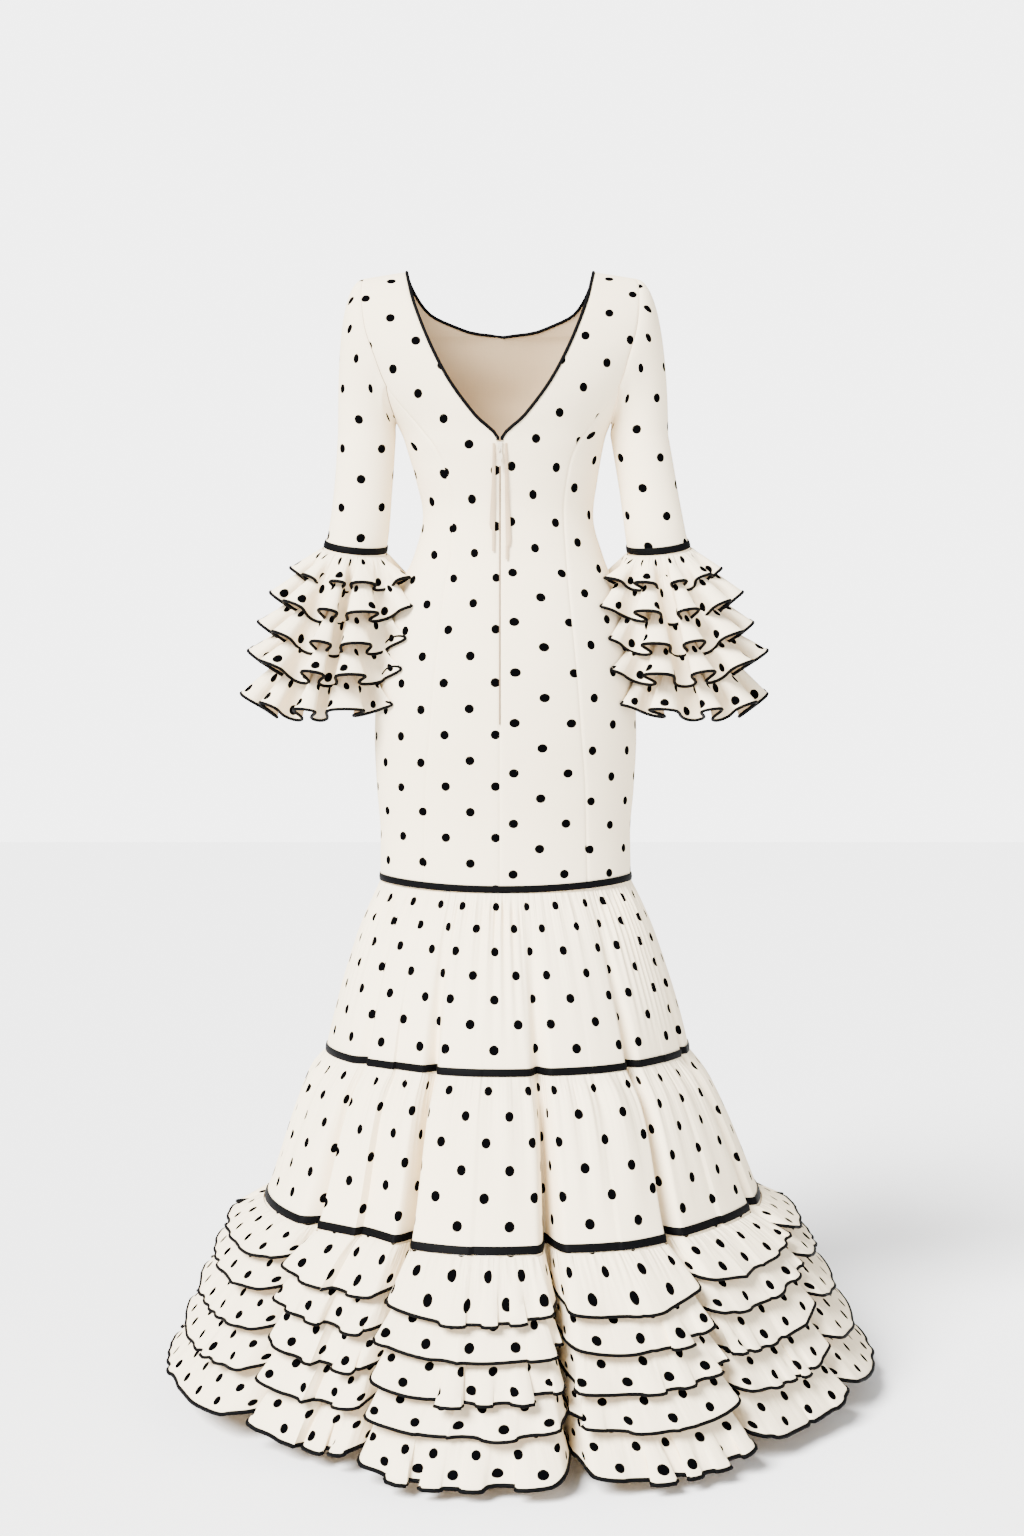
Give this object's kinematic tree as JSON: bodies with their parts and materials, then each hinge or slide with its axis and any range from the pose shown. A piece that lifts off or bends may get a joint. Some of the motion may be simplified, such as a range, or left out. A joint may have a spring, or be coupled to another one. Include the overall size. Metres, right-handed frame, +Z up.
{
  "type": "flamenco dress",
  "caption": "Fitted flamenco dress with a deep V back, elbow sleeves that end in layers of ruffles, and a flared tiered skirt that ends in rows of ruffles.",
  "frame": {"origin": "between the shoulders, at the height of the shoulder seams, over the middle of the body", "axes": "+Z up, front towards -Y, back with the zip towards +Y, the wearer's left towards +X"},
  "size_m": [0.9111, 0.9263, 1.4308],
  "materials": {
    "ivory_crepe": "matt crepe",
    "black_ribbon": "satin ribbon",
    "cream_ribbon": "satin ribbon",
    "cream_metal": "smooth enamel"
  },
  "bodies": {
    "dress": {"back_left": "ivory_crepe", "back_right": "ivory_crepe", "front": "ivory_crepe", "hanger_loop_left": "cream_ribbon", "hanger_loop_right": "cream_ribbon", "hem_ruffle_1": "ivory_crepe", "hem_ruffle_2": "ivory_crepe", "hem_ruffle_3": "ivory_crepe", "hem_ruffle_4": "ivory_crepe", "hem_ruffle_5": "ivory_crepe", "lower_sleeve_left": "ivory_crepe", "lower_sleeve_right": "ivory_crepe", "neck_binding": "black_ribbon", "side_back_left": "ivory_crepe", "side_back_right": "ivory_crepe", "skirt_band_1": "black_ribbon", "skirt_band_2": "black_ribbon", "skirt_band_3": "black_ribbon", "skirt_base": "ivory_crepe", "skirt_tier_1": "ivory_crepe", "skirt_tier_2": "ivory_crepe", "sleeve_band_left": "black_ribbon", "sleeve_band_right": "black_ribbon", "sleeve_left": "ivory_crepe", "sleeve_right": "ivory_crepe", "sleeve_ruffle_left_1": "ivory_crepe", "sleeve_ruffle_left_2": "ivory_crepe", "sleeve_ruffle_left_3": "ivory_crepe", "sleeve_ruffle_left_4": "ivory_crepe", "sleeve_ruffle_left_5": "ivory_crepe", "sleeve_ruffle_right_1": "ivory_crepe", "sleeve_ruffle_right_2": "ivory_crepe", "sleeve_ruffle_right_3": "ivory_crepe", "sleeve_ruffle_right_4": "ivory_crepe", "sleeve_ruffle_right_5": "ivory_crepe", "zip_slider": "cream_metal", "zip_tape": "cream_ribbon"},
    "zip_pull": {"zip_pull": "cream_metal"}
  },
  "joints": [
    {"name": "zip_pull_hinge", "type": "hinge", "parent": "dress", "child": "zip_pull", "pos_m": [0.0065, 0.09412, -0.24896], "axis": [1, 0, 0], "range_deg": [0, 165]}
  ]
}
